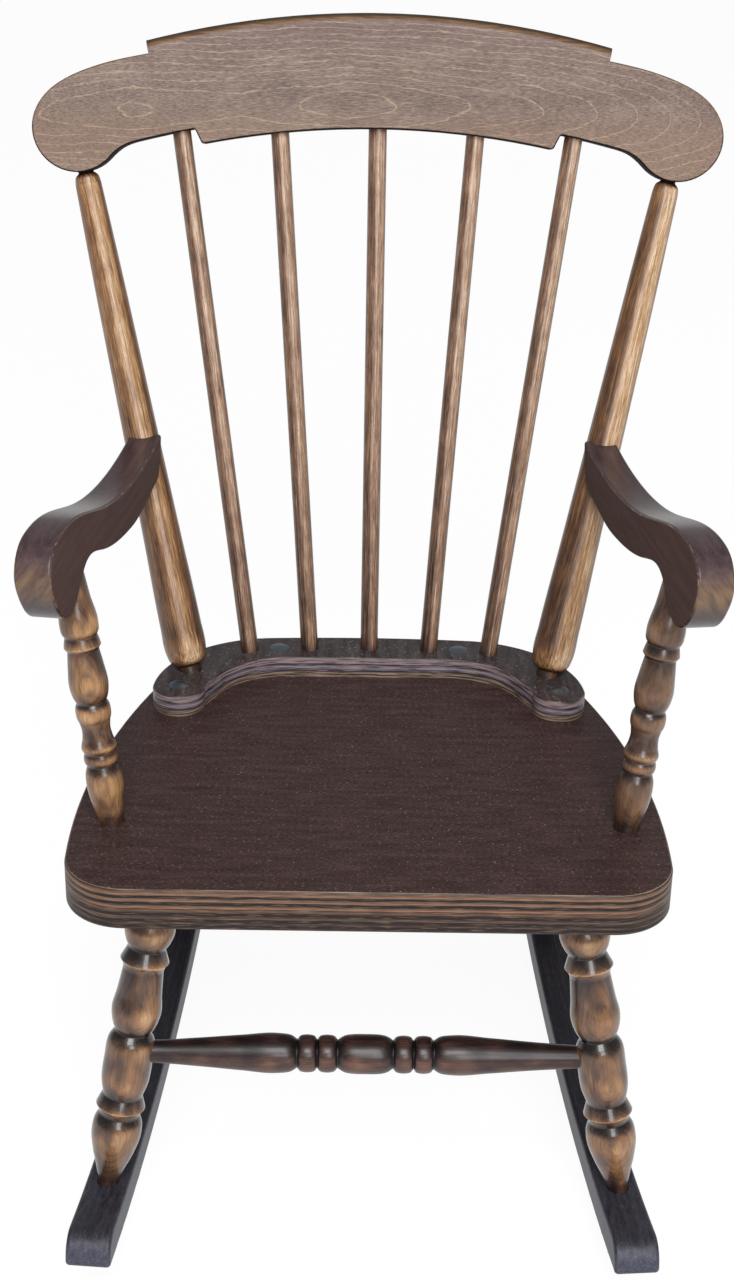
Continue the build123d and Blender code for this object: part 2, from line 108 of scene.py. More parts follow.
# %% [markdown]
# ## Turned parts
#
# A turning is one outline spun about the lathe's axis. Each outline is a length, the diameter at
# the start and a list of strokes to the other end, through points of (distance, diameter). A
# stroke is one sweep of the gouge, and a crisp line is left where two strokes meet. Modelling the
# beads one by one would also work, but a list like this can be read off a part with calipers.

# %% Outlines of the turnings
LEG = 196.0, 22.0, [
    [(5.0, 22.0)],
    [(16.0, 27.4), (23.5, 30.4), (30.0, 27.4), (35.0, 22.4)],
    [(39.0, 25.6), (43.6, 29.4)],
    [(45.4, 26.8), (49.0, 24.4)],
    [(65.0, 27.2), (77.5, 30.0), (86.0, 26.4), (91.0, 21.6)],
    [(97.0, 28.2), (110.0, 29.4), (125.0, 28.6), (134.0, 24.2)],
    [(138.0, 27.2), (142.0, 30.0)],
    [(144.2, 27.2), (147.5, 24.6)],
    [(153.0, 29.4), (160.5, 30.4), (173.0, 25.6), (185.0, 18.0), (193.0, 13.5)],
]
SUPPORT = 159.5, 16.0, [
    [(2.5, 16.0)],
    [(14.0, 20.2), (26.0, 22.2), (32.0, 21.2), (37.0, 17.6)],
    [(39.0, 19.8), (41.0, 20.4), (43.2, 19.8), (45.0, 18.4)],
    [(48.0, 21.0), (54.0, 18.2), (59.5, 17.0), (65.0, 18.6)],
    [(67.5, 20.4), (70.5, 21.0), (74.5, 20.2), (77.0, 17.8)],
    [(81.0, 21.0), (87.5, 23.2), (99.0, 21.4), (109.8, 18.6)],
    [(110.8, 20.4), (112.0, 22.0)],
    [(115.0, 20.9), (118.4, 19.2)],
    [(121.0, 22.0), (125.5, 22.8), (142.0, 18.4), (159.5, 15.0)],
]
POST = 334.0, 16.0, [
    [(2.9, 16.0)],
    [(4.2, 20.6), (7.2, 24.8), (13.0, 27.6), (32.0, 27.8), (90.0, 25.5), (185.0, 22.3)],
    [(260.0, 20.0), (326.0, 17.0)],
    [(330.5, 15.4), (333.4, 10.0)],
]
STRETCHER = 284.0, 13.8, [
    [(14.0, 13.8), (42.0, 17.2), (67.0, 21.2), (89.0, 24.0), (97.0, 22.0), (101.0, 17.2)],
    [(103.2, 21.6), (107.0, 22.7), (110.8, 21.6), (113.0, 17.0)],
    [(115.2, 21.6), (119.0, 22.7), (122.8, 21.6), (125.3, 17.0)],
    [(129.0, 21.6), (142.0, 24.0), (155.0, 21.6), (158.7, 17.0)],
    [(161.2, 21.6), (165.0, 22.7), (168.8, 21.6), (171.0, 17.0)],
    [(173.2, 21.6), (177.0, 22.7), (180.8, 21.6), (183.0, 17.2)],
    [(187.0, 22.0), (195.0, 24.0), (217.0, 21.2), (242.0, 17.2), (270.0, 13.8)],
    [(284.0, 13.8)],
]
print("strokes of leg, support, post, stretcher:", [len(t[2]) for t in (LEG, SUPPORT, POST, STRETCHER)])

# %% [markdown]
# A gouge moves smoothly, so the points of one stroke are joined by a curve and not by straight
# lines. Cubic pieces that share their slopes do that, and never swing far from the points.

# %% From strokes to an outline
def smooth_through(points, step=0.7):
    """A smooth curve through points, in steps of this length.

    Each piece is the cubic through its two points with the slopes there, and a slope is the
    change from the point before to the point after over the distance between them.
    """
    points = np.array(points, float)
    steps = np.diff(points, axis=0)
    chord = np.concatenate([[0], np.cumsum(np.linalg.norm(steps, axis=1))])
    slope = np.gradient(points, chord, axis=0) if len(points) > 2 else steps / chord[1]
    slope = np.broadcast_to(slope, points.shape)
    t = np.linspace(0, chord[-1], max(3, int(chord[-1] / step)))
    i = np.clip(np.searchsorted(chord, t, side="right") - 1, 0, len(points) - 2)
    h = (chord[i + 1] - chord[i])[:, None]
    u = (t[:, None] - chord[i][:, None]) / h
    return (
        (2 * u**3 - 3 * u**2 + 1) * points[i] + (u**3 - 2 * u**2 + u) * h * slope[i]
        + (3 * u**2 - 2 * u**3) * points[i + 1] + (u**3 - u**2) * h * slope[i + 1]
    )


def outline_of(turning, length, tenons):
    """Distances and radii along a turning stretched to a length, with tenons past its ends."""
    nominal, first, strokes = turning
    here = (0.0, first)
    rows = [np.array([(-tenons[0], first), here])]
    for stroke in strokes:
        rows.append(smooth_through([here] + stroke)[1:])
        here = stroke[-1]
    outline = np.concatenate(rows)
    outline[1:, 0] *= length / nominal
    outline = np.concatenate([outline, [(length + tenons[1], here[1])]])
    return outline[:, 0], outline[:, 1] / 2


leg_radii = outline_of(LEG, LEG[0], (0, 0))[1]
print("leg: places along it", len(leg_radii), "and widest diameter", round(2 * leg_radii.max(), 1))

# %% [markdown]
# A turned surface is a grid: rows along the axis and columns around it, with the last column
# joined to the first and a fan of triangles over each end. The whole grid is worked out at once
# and handed to the mesh in one go, which is much faster than adding faces one by one.

# %% A mesh from a grid of points
def surface(name, points, **attributes):
    """A mesh from a grid of points, rows by columns, closed into a tube with two ends.

    Each attribute has one value or vector for each point.
    """
    rows, around = points.shape[:2]
    row = np.arange(rows - 1)[:, None] * around
    here = np.arange(around)
    there = (here + 1) % around
    quads = np.stack([row + here, row + there, row + around + there, row + around + here], axis=-1)
    first, last, top = rows * around, rows * around + 1, (rows - 1) * around
    faces = [
        quads.reshape(-1, 4),
        np.stack([there, here, np.full(around, first)], axis=-1),
        np.stack([top + here, top + there, np.full(around, last)], axis=-1),
    ]
    corners = np.concatenate([part.reshape(-1) for part in faces])
    sizes = np.concatenate([np.full(len(part), part.shape[1]) for part in faces])
    vertices = np.concatenate([points.reshape(-1, 3), points[[0, -1]].mean(axis=1)])
    mesh = bpy.data.meshes.new(name)
    mesh.vertices.add(len(vertices))
    mesh.vertices.foreach_set("co", (vertices * MM).astype(np.float32).ravel())
    mesh.loops.add(len(corners))
    mesh.loops.foreach_set("vertex_index", corners.astype(np.int32))
    mesh.polygons.add(len(sizes))
    starts = np.concatenate([[0], np.cumsum(sizes)[:-1]])
    mesh.polygons.foreach_set("loop_start", starts.astype(np.int32))
    mesh.polygons.foreach_set("use_smooth", np.ones(len(sizes), bool))
    mesh.update()
    for key, value in attributes.items():
        value = value.reshape(rows, around, -1)
        value = np.concatenate([value.reshape(rows * around, -1), value[[0, -1]].mean(axis=1)])
        kind, field = ("FLOAT_VECTOR", "vector") if value.shape[1] == 3 else ("FLOAT", "value")
        layer = mesh.attributes.new(key, kind, "POINT")
        layer.data.foreach_set(field, value.astype(np.float32).ravel())
    piece = bpy.data.objects.new(name, mesh)
    bpy.context.scene.collection.objects.link(piece)
    return piece


# %% [markdown]
# Along with the surface, two attributes are kept for the finish. "grain" is the place in the
# blank, with z along the axis, so that the fibres run with the turning however it leans. "stain"
# says how much darker the wood is: more stain in the hollows and less on the bulges, where the
# cloth wipes it off, and a painted shade where an end meets its socket.

# %% One turned part
BEAD_REACH = 2.5
BELLY_REACH = 9.0
LEAST_STAIN = -0.7
SOCKET_SHADE_REACH = 3.0
SETTLING_REACH = 130.0


def hollow_at(along, radius, reach):
    """How far each radius lies under the outline smoothed by a bell curve of this reach."""
    step = 0.5
    fine = np.arange(along[0], along[-1], step)
    level = np.interp(fine, along, radius)
    half = int(3 * reach / step)
    bell = np.exp(-0.5 * (np.arange(-half, half + 1) * step / reach) ** 2)
    smooth = np.convolve(np.pad(level, half, mode="edge"), bell / bell.sum(), mode="valid")
    return np.interp(along, fine, smooth - level)


def turned(node, turning, start, end, tenons, blank, around=72, settled=0.0):
    """A turned part between two places that stands for a solid node.

    A point lies at start + distance axis + radius (cos a side + sin a front). The stain is
    0.5 of the hollow between beads and 0.35 of that between bellies, plus 0.7 of painted shade
    at a socket and settled at the start, both of which fade with the distance. tenons are the
    lengths hidden past the two ends. blank moves the part to another place in the timber, so
    that no two show the same grain.
    """
    length = np.linalg.norm(end - start)
    axis = (end - start) / length
    side = np.cross(axis, [0.0, 1.0, 0.0])
    side /= np.linalg.norm(side)
    front = np.cross(axis, side)
    along, radius = outline_of(turning, length, tenons)
    angle = np.linspace(0, 2 * np.pi, around, endpoint=False)
    x = radius[:, None] * np.cos(angle)
    y = radius[:, None] * np.sin(angle)
    z = np.repeat(along[:, None], around, axis=1)
    points = start + x[..., None] * side + y[..., None] * front + z[..., None] * axis
    stain = 0.5 * hollow_at(along, radius, BEAD_REACH) + 0.35 * hollow_at(along, radius, BELLY_REACH)
    stain = np.maximum(stain, LEAST_STAIN)
    to_end = np.minimum(np.abs(along), np.abs(length - along))
    past_start = np.clip(along, 0, None)
    # painted shade where an end meets its socket, added to the stain
    stain += 0.7 * np.exp(-to_end / SOCKET_SHADE_REACH) + settled * np.exp(-past_start / SETTLING_REACH)
    stain = np.repeat(stain[:, None], around, axis=1)
    grain = np.stack([x + blank[0], y + blank[1], z + blank[2]], axis=-1)
    piece = surface(node + "_turned", points, stain=stain, grain=grain)
    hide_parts(node)
    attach(piece, "root")
    return piece


# %% [markdown]
# ## Arm supports and back posts
#
# The supports stand in the seat and carry the arms. The posts stand in the collar, lean out and
# back, and end in the crest's round lobes. Stain has settled down the posts, so they are darker
# at the foot. A part that leans two ways could be given by its angles, but the places of its foot
# and head are easier to measure, and then it surely meets both boards.

# %% Arm supports and back posts
SUPPORT_FOOT = 155.3, 78.5
SUPPORT_HEAD = 175.3, 94.0, 157.4
SUPPORT_TENONS = 16, 14
POST_FOOT = 122.0, 257.5
POST_HEAD = 190.2, -30.32
POST_TENONS = 22, 16
turnings = {"leg": [], "support": [], "post": [], "stretcher": [], "spindle": []}
for word, side in SIDES.items():
    foot = at_seat(side * SUPPORT_FOOT[0], SUPPORT_FOOT[1], 0)
    head = at_seat(side * SUPPORT_HEAD[0], *SUPPORT_HEAD[1:])
    blank = (3.0 * side, 30.0, 420.0 * side)
    piece = turned(f"arm_support_{word}", SUPPORT, foot, head, SUPPORT_TENONS, blank)
    turnings["support"].append(piece)
    print("support length:", round(np.linalg.norm(head - foot), 1))
    foot = at_seat(side * POST_FOOT[0], POST_FOOT[1], COLLAR_THICK)
    head = at_crest(side * POST_HEAD[0], POST_HEAD[1])
    blank = (12.0 * side, 34.0, 700.0 * side)
    piece = turned(f"back_post_{word}", POST, foot, head, POST_TENONS, blank, settled=0.7)
    turnings["post"].append(piece)
    print("post length:", round(np.linalg.norm(head - foot), 1))

# %% [markdown]
# ## Legs and stretchers
#
# The legs splay from the seat to the rockers, which toe out. A stretcher runs between the axes of
# a pair of legs, at the same distance down each, so its ends follow wherever the legs stand.

# %% Legs and stretchers
FRONT_LEG_TOP = 125.5, 40.0
REAR_LEG_TOP = 107.0, 252.0
LEG_TENONS = 18, 12
STRETCHER_DROP = 105.5
STRETCHER_TENONS = 4, 4
leg_ends = {}
for word, side in SIDES.items():
    for row, (x, y), foot_y in (
        ("front", FRONT_LEG_TOP, FRONT_FOOT_Y),
        ("rear", REAR_LEG_TOP, REAR_FOOT_Y),
    ):
        leg_ends[row, word] = at_seat(side * x, y, -SEAT_THICK), on_rocker(side, foot_y)
for (row, word), (top, foot) in leg_ends.items():
    blank = (4.0 * SIDES[word], 32.0, 260.0 * SIDES[word] + (90 if row == "rear" else 0))
    turnings["leg"].append(turned(f"{row}_leg_{word}", LEG, top, foot, LEG_TENONS, blank))
    print(row, word, "leg length:", round(np.linalg.norm(foot - top), 1))
for row, shift in (("front", 0.0), ("rear", 300.0)):
    joints = [
        top + (foot - top) / np.linalg.norm(foot - top) * STRETCHER_DROP
        for top, foot in (leg_ends[row, word] for word in SIDES)
    ]
    blank = (22.0, -9.0, shift)
    piece = turned(f"{row}_stretcher", STRETCHER, *joints, STRETCHER_TENONS, blank)
    turnings["stretcher"].append(piece)
    print(row, "stretcher length:", round(np.linalg.norm(joints[1] - joints[0]), 1))

# %% [markdown]
# ## Spindles
#
# Five straight dowels fan out from a curved row in the collar to the crest's lower edge. Plain
# cylinders would have their shape. As turnings whose outline is one straight stroke, they get the
# grain and the stain of the other parts as well.

# %% Spindles
SPINDLES = 5
DOWEL = 12.0
DOWEL_TENONS = 22, 15
STEP_LOW = 41.4
STEP_HIGH = 64.3
ROW_RADIUS = 610.0
for index in range(SPINDLES):
    step = index - SPINDLES // 2
    x = STEP_LOW * step
    low = at_seat(x, SPINDLE_ROW_Y - x**2 / (2 * ROW_RADIUS), COLLAR_THICK)
    high = at_crest(STEP_HIGH * step, 0)
    length = np.linalg.norm(high - low)
    rod = length, DOWEL, [[(length, DOWEL)]]
    blank = (18.0 + 5 * step, 7.0 * step, 500.0 * step)
    name = f"spindle_{index + 1}"
    piece = turned(name, rod, low, high, DOWEL_TENONS, blank, around=40, settled=0.9)
    turnings["spindle"].append(piece)
print("turned parts:", sum(map(len, turnings.values())))

# %% [markdown]
# ## Materials
#
# A finish is a small network of nodes. Three helpers keep it short: one for colours as a paint
# chart gives them, one that adds any node with its settings and links, and one that starts a
# material. A map range takes, in this order, a value, the range it comes from and the range it
# goes to, and SMOOTH makes it level out at both ends.

# %% Colours, nodes and materials
SMOOTH = {"interpolation_type": "SMOOTHSTEP"}


def linear(hex_colour):
    """An sRGB hex colour as linear red, green, blue and a full alpha."""
    channels = [int(hex_colour[i:i + 2], 16) / 255 for i in (1, 3, 5)]
    return [c / 12.92 if c <= 0.04045 else ((c + 0.055) / 1.055) ** 2.4 for c in channels] + [1.0]


def add(tree, kind, inputs=None, out=0, stops=None, **settings):
    """Adds a node and returns one of its outputs.

    inputs are numbers, hex colours or outputs to link, and stops fill a colour ramp.
    """
    node = tree.nodes.new("ShaderNode" + kind)
    for key, value in settings.items():
        setattr(node, key, value)
    for key, value in (inputs or {}).items():
        if isinstance(value, bpy.types.NodeSocket):
            tree.links.new(value, node.inputs[key])
        else:
            node.inputs[key].default_value = linear(value) if isinstance(value, str) else value
    if stops:
        elements = node.color_ramp.elements
        while len(elements) < len(stops):
            elements.new(1.0)
        for element, (position, colour) in zip(elements, stops):
            element.position = position
            element.color = linear(colour)
    return node.outputs[out] if len(node.outputs) else node


def new_material(name):
    """A material and its tree, with no nodes in it yet."""
    material = bpy.data.materials.new(name)
    material.use_nodes = True
    material.node_tree.nodes.clear()
    return material, material.node_tree


print("mid brown in linear light:", [round(c, 3) for c in linear("#7f5f4c")])

# %% [markdown]
# ## Wood under stain
#
# Beech has fine fibres, faint growth rings and short flecks, and takes stain unevenly. Painted
# boards would blur close up and show their seams. Here each pattern is a noise drawn out along
# the fibres, in a place that is measured in millimetres from the part itself, so it has its real
# size and moves with the part.

# %% Patterns of wood
def timber_place(tree, origin, rows):
    """A board's own place: rows are the directions of its x, y and z, and z is along the fibres."""
    turn = Matrix(np.array(rows).tolist())
    moved = -np.array(rows) @ np.array(origin)
    return add(tree, "Mapping", {
        "Vector": add(tree, "TexCoord", out="Object"),
        "Location": moved.tolist(), "Rotation": turn.to_euler(), "Scale": (1 / MM, 1 / MM, 1 / MM),
    })


def fibres(tree, place, across, along, detail=2.0):
    """Noise drawn out along z, with grains of these sizes."""
    scale = (1 / across, 1 / across, 1 / along)
    drawn = add(tree, "Mapping", {"Vector": place, "Scale": scale})
    return add(tree, "TexNoise", {"Vector": drawn, "Scale": 1.0, "Detail": detail})


def weighed(tree, start, *parts):
    """start + the sum of weight (noise - 1/2) over the parts, each a (noise, weight)."""
    total = start
    for noise, weight in parts:
        centred = add(tree, "Math", {0: noise, 1: 0.5}, operation="SUBTRACT")
        total = add(tree, "Math", {0: centred, 1: weight, 2: total}, operation="MULTIPLY_ADD")
    return total


def facing(tree, direction, low, high, both=True):
    """1 where the surface faces a direction, cosine above high, and 0 below low.

    both counts the opposite direction too.
    """
    normal = add(tree, "NewGeometry", out="Normal")
    cosine = add(tree, "VectorMath", {0: normal, 1: direction}, "Value", operation="DOT_PRODUCT")
    if both:
        cosine = add(tree, "Math", {0: cosine}, operation="ABSOLUTE")
    return add(tree, "MapRange", {0: cosine, 1: low, 2: high}, **SMOOTH)


def varnish(tree, colour, relief, rough, coat=0.0, coat_rough=0.15, depth=0.05, specular=0.4):
    """The surface: stained wood with a shallow relief, under a coat of varnish."""
    bump = add(tree, "Bump", {"Strength": 0.5, "Distance": depth * MM, "Height": relief})
    shader = add(tree, "BsdfPrincipled", {
        "Base Color": colour, "Roughness": rough, "Normal": bump, "Specular IOR Level": specular,
        "Coat Weight": coat, "Coat Roughness": coat_rough,
    })
    add(tree, "OutputMaterial", {"Surface": shader})


# %% [markdown]
# ## The turned parts' finish
#
# The chair was stained before it was varnished, and the turnings were wiped. So the bulges are
# amber and the grooves nearly black. The posts and spindles are plain, and show long streaks of
# fibres instead. The varnish is glossiest on the legs, which nobody rubs against. One function
# makes them all, because they differ only in how much there is of each.

# %% Stain on a turning
RING = 1.5
UPWARD_PAINTED_SHADE = -0.28
TOWARDS_FRONT = (0.4, -0.9, 0.15)


def turned_finish(name, tones, dark, blotch, streak, gather, rough, wear_and_highlight=0.0, **coat):
    """Wiped stain: a ramp of tones over blotches, streaks and rings, less what gathers.

    The rings are the distance from the pith over a ring's width, bent by a slow noise. tones
    run from the darkest to the lightest, and dark is the colour of the flecks. blotch, streak
    and gather are weights, and so is the weight after rough, of a painted highlight: a paler
    band on the side towards the lamps in front.
    """
    material, tree = new_material(name)
    place = add(tree, "Attribute", out="Vector", attribute_name="grain")
    stain = add(tree, "Attribute", out="Fac", attribute_name="stain")
    coarse = fibres(tree, place, 1.1, 40.0, 3.0)
    fine = fibres(tree, place, 0.45, 8.0, 2.0)
    cloud = fibres(tree, place, 9.0, 16.0, 1.0)
    flat = add(tree, "Mapping", {"Vector": place, "Scale": (1 / RING, 1 / RING, 0.0)})
    rings = add(tree, "VectorMath", {0: flat}, "Value", operation="LENGTH")
    rings = add(tree, "Math", {0: cloud, 1: 1.2, 2: rings}, operation="MULTIPLY_ADD")
    rings = add(tree, "Math", {0: rings, 1: 0.5}, operation="PINGPONG")
    rings = add(tree, "MapRange", {0: rings, 1: 0.0, 2: 0.25, 3: 0.25, 4: 0.5}, **SMOOTH)
    tone = weighed(tree, 0.5, (cloud, blotch), (coarse, streak), (fine, 0.8 * streak), (rings, 0.3))
    tone = add(tree, "Math", {0: stain, 1: -gather, 2: tone}, operation="MULTIPLY_ADD")
    # painted shade: a turning is made darker where it faces up
    upper = facing(tree, SEAT_UP, 0.1, 0.6, both=False)
    tone = add(tree, "Math", {0: upper, 1: UPWARD_PAINTED_SHADE, 2: tone}, operation="MULTIPLY_ADD")
    # painted highlight: the side towards the front lamps is made paler, where the varnish would glint
    painted_front_highlight = facing(tree, TOWARDS_FRONT, 0.72, 0.97, both=False)
    tone = add(tree, "Math", {0: painted_front_highlight, 1: wear_and_highlight, 2: tone}, operation="MULTIPLY_ADD")
    steps = [(i / (len(tones) - 1), colour) for i, colour in enumerate(tones)]
    colour = add(tree, "ValToRGB", {0: tone}, stops=steps)
    fleck = fibres(tree, place, 0.5, 2.5, 1.0)
    fleck = add(tree, "MapRange", {0: fleck, 1: 0.60, 2: 0.70, 3: 0.0, 4: 0.4}, **SMOOTH)
    colour = add(tree, "MixRGB", {0: fleck, 1: colour, 2: dark})
    gloss = {0: coarse, 1: 0.3, 2: 0.7, 3: rough - 0.05, 4: rough + 0.08}
    varnish(tree, colour, fine, add(tree, "MapRange", gloss, **SMOOTH), **coat)
    return material


# %% [markdown]
# The five kinds of turning, all of the same beech and much the same stain. The tones of each run
# from the grooves, where the stain is thickest, to the bellies, where it is nearly rubbed off.

# %% Finishes of the turned parts
turned_slots = {
    # amber bellies and near-black grooves, glossy: the legs catch the eye first
    "leg": ("leg_wood", turned_finish(
        "beech_amber_stain_legs", ["#160e0b", "#2e201a", "#563e30", "#8e6747", "#bf9870"],
        dark="#2c1a12", blotch=0.7, streak=0.2, gather=0.4, wear_and_highlight=0.16,
        rough=0.3, coat=0.45, coat_rough=0.12)),
    # the same stain, wiped thinner where hands hold on
    "support": ("support_wood", turned_finish(
        "beech_amber_stain_supports", ["#1c120e", "#422d22", "#75553e", "#b0865a", "#dab586"],
        dark="#3b2518", blotch=0.8, streak=0.22, gather=0.38, wear_and_highlight=0.08,
        rough=0.34, coat=0.35, coat_rough=0.16)),
    # golden brown, with faint long streaks: plain shapes that show the timber
    "post": ("post_wood", turned_finish(
        "beech_golden_stain_posts", ["#2a180e", "#583a24", "#855e3d", "#b78f66", "#e0c8aa"],
        dark="#5a3a24", blotch=0.25, streak=0.9, gather=0.35, wear_and_highlight=0.38,
        rough=0.42, coat=0.5, coat_rough=0.28)),
    # thin rods, browner than the posts
    "spindle": ("spindle_wood", turned_finish(
        "beech_brown_stain_spindles", ["#2a1911", "#523a2c", "#7f604c", "#ad8c74", "#d8c0a8"],
        dark="#4a3022", blotch=0.35, streak=1.0, gather=0.3, wear_and_highlight=0.3,
        rough=0.4, coat=0.4, coat_rough=0.28)),
    # red-brown and dark, with thin long glints
    "stretcher": ("stretcher_wood", turned_finish(
        "beech_red_brown_stain_stretchers", ["#0f0908", "#261615", "#442c26", "#664739", "#866248"],
        dark="#1c100d", blotch=0.8, streak=0.4, gather=0.45,
        rough=0.42, coat=0.25, coat_rough=0.22)),
}
for kind, pieces in turnings.items():
    slot, material = turned_slots[kind]
    for piece in pieces:
        piece.data.materials.append(material)
# the right support kept more of its stain than the left one
darker = turned_finish(
    "beech_brown_stain_right_support", ["#190f0c", "#36261e", "#5a4233", "#836248", "#ad8a6a"],
    dark="#2c1a12", blotch=0.7, streak=0.22, gather=0.38, wear_and_highlight=0.08,
    rough=0.34, coat=0.4, coat_rough=0.16)
turnings["support"][1].data.materials[0] = darker
print("finishes on turned parts:", len(turned_slots) + 1)

# %% [markdown]
# ## The crest rail
#
# The rail is one flat-sawn board. Its rings are tubes about a pith that lies behind the face, and
# the face cuts them at a shallow angle. So they show as pale wavy lines: an oval below the middle,
# where the pith is nearest, and nested arrow heads towards the right, where it runs deeper. A
# drawn picture of such lines would stretch and repeat, but a distance from the pith never does.
# First comes the place of the pith: how high it runs on the face, and how deep behind it.

# %% The crest's pith
CREST_FRONT = -SEAT_BACK * math.cos(RECLINE) + SEAT_UP * math.sin(RECLINE)
CREST_UP = SEAT_BACK * math.sin(RECLINE) + SEAT_UP * math.cos(RECLINE)
HEART_HEIGHT = 14.5
HEART_DROP = 1 / 5600
NEAREST_X = -19.0
NEAREST_DEPTH = 15.7
crest_material, tree = new_material("beech_grey_brown_stain_crest")
place = timber_place(tree, at_crest(0, 0), [CREST_UP, CREST_FRONT, X])
slow = fibres(tree, place, 14.0, 60.0, 1.0)
ragged = fibres(tree, place, 2.2, 8.0, 1.0)
height = add(tree, "SeparateXYZ", {0: place}, "X")
across = add(tree, "SeparateXYZ", {0: place}, "Z")
# the height over the heart of the figure, which drops by x^2 / 5600 to the sides
square = add(tree, "Math", {0: across, 1: across}, operation="MULTIPLY")
figure = add(tree, "Math", {0: square, 1: HEART_DROP, 2: height}, operation="MULTIPLY_ADD")
figure = add(tree, "Math", {0: figure, 1: HEART_HEIGHT}, operation="SUBTRACT")
figure = weighed(tree, figure, (slow, 6.0), (ragged, 2.6))
# the depth grows from its nearest place: to and fro each 70 mm on the left, steadily on the
# right, and faster past 100 mm
right = add(tree, "Math", {0: across, 1: -NEAREST_X}, operation="ADD")
left = add(tree, "Math", {0: right, 1: -1.0}, operation="MULTIPLY")
outer = add(tree, "Math", {0: left, 1: 0.0}, operation="MAXIMUM")
left = add(tree, "Math", {0: outer, 1: 70.0}, operation="PINGPONG")
right = add(tree, "Math", {0: right, 1: 0.0}, operation="MAXIMUM")
end = add(tree, "Math", {0: across, 1: 100.0}, operation="SUBTRACT")
end = add(tree, "Math", {0: end, 1: 0.0}, operation="MAXIMUM")
end = add(tree, "Math", {0: end, 1: end}, operation="MULTIPLY")
depth = NEAREST_DEPTH
for distance, slope in ((left, 0.06), (outer, 0.012), (right, 0.075), (end, 0.0006)):
    depth = add(tree, "Math", {0: distance, 1: slope, 2: depth}, operation="MULTIPLY_ADD")
print("nodes that place the pith:", len(tree.nodes))

# %% [markdown]
# A ring's line shows at each 3.6 mm from the pith. Near the heart the rings run almost level with
# the face, and lines of one thickness would spread out wide there. So the width of a line follows
# how squarely its ring is cut. Real lines are broken by the fibres, and so are these.

# %% The crest's ring lines
CREST_RING = 3.6
FIRST_RING = 18.0
from_pith = add(tree, "CombineXYZ", {"X": figure, "Y": depth})
from_pith = add(tree, "VectorMath", {0: from_pith}, "Value", operation="LENGTH")
ring = add(tree, "Math", {0: from_pith, 1: FIRST_RING}, operation="SUBTRACT")
ring = add(tree, "Math", {0: ring, 1: 1 / CREST_RING}, operation="MULTIPLY")
line = add(tree, "Math", {0: ring, 1: 0.5}, operation="PINGPONG")
steep = add(tree, "Math", {0: figure, 1: from_pith}, operation="DIVIDE")
steep = add(tree, "Math", {0: steep}, operation="ABSOLUTE")
width = add(tree, "Math", {0: steep, 1: 0.10, 2: 0.022}, operation="MULTIPLY_ADD")
line = add(tree, "MapRange", {0: line, 1: 0.0, 2: width, 3: 0.5, 4: 0.0}, **SMOOTH)
broken = fibres(tree, place, 2.0, 16.0, 2.0)
broken = add(tree, "MapRange", {0: broken, 1: 0.32, 2: 0.54, 3: 0.3, 4: 1.0}, **SMOOTH)
line = add(tree, "Math", {0: line, 1: broken}, operation="MULTIPLY")
print("nodes with the ring lines:", len(tree.nodes))

# %% [markdown]
# The stain is thin on the face: grey-brown and browner towards the lower edge, with a painted
# shade in purple below the roll, and with pale flecks and dark pores. The rolled top edge is
# brown with painted shade on its top, and the sawn edges that do not face up are painted near
# black as shade. Those are found by where the surface faces.

# %% The crest's stain
fine = fibres(tree, place, 0.45, 5.0, 3.0)
cloud = fibres(tree, place, 14.0, 40.0, 2.0)
tone = weighed(tree, 0.5, (fine, 1.6), (cloud, 0.6))
colour = add(tree, "ValToRGB", {0: tone}, stops=[
    (0.15, "#534239"), (0.42, "#705d54"), (0.6, "#7f6c62"), (0.9, "#988478")])
low = add(tree, "MapRange", {0: height, 1: 20.0, 2: -8.0, 3: 0.0, 4: 0.4}, **SMOOTH)
colour = add(tree, "MixRGB", {0: low, 1: colour, 2: "#8a6c55"})
# painted shade: the face is made purplish and darker below the roll
high = add(tree, "MapRange", {0: height, 1: 30.0, 2: 66.0, 3: 0.0, 4: 0.5}, **SMOOTH)
colour = add(tree, "MixRGB", {0: high, 1: colour, 2: "#6b5351"})
fleck = fibres(tree, place, 0.4, 2.6, 1.0)
fleck = add(tree, "MapRange", {0: fleck, 1: 0.58, 2: 0.68, 3: 0.0, 4: 0.4}, **SMOOTH)
colour = add(tree, "MixRGB", {0: fleck, 1: colour, 2: "#a9917f"})
colour = add(tree, "MixRGB", {0: line, 1: colour, 2: "#c3a98f"})
pore = fibres(tree, place, 0.35, 5.0, 1.0)
pore = add(tree, "MapRange", {0: pore, 1: 0.58, 2: 0.68, 3: 0.0, 4: 0.55}, **SMOOTH)
colour = add(tree, "MixRGB", {0: pore, 1: colour, 2: "#46362e"})
# the roll is brown with painted shade on its top, and the sawn edges that do not face up are painted
# near black as shade
roll = add(tree, "ValToRGB", {0: fibres(tree, place, 1.2, 14.0, 2.0)}, stops=[
    (0.35, "#5c432e"), (0.55, "#7d5f44"), (0.75, "#94765a")])
painted_shade_on_top = facing(tree, CREST_UP, 0.45, 0.9, both=False)
roll = add(tree, "MixRGB", {0: painted_shade_on_top, 1: roll, 2: "#3a2d22"})
is_face = facing(tree, CREST_FRONT, 0.9, 0.97)
is_roll = facing(tree, CREST_UP, 0.05, 0.2, both=False)
# painted shade: the edges that do not face up are made near black
edge = add(tree, "MixRGB", {0: is_roll, 1: "#140d0b", 2: roll})
colour = add(tree, "MixRGB", {0: is_face, 1: edge, 2: colour})
# the sawn edges are dull, and the rest has a satin varnish
planed = add(tree, "Math", {0: is_face, 1: is_roll}, operation="MAXIMUM")
rough = add(tree, "Math", {0: planed, 1: -0.45, 2: 0.92}, operation="MULTIPLY_ADD")
varnish(tree, colour, fine, rough, depth=0.08, specular=0.3)
print("nodes of the crest's finish:", len(tree.nodes))

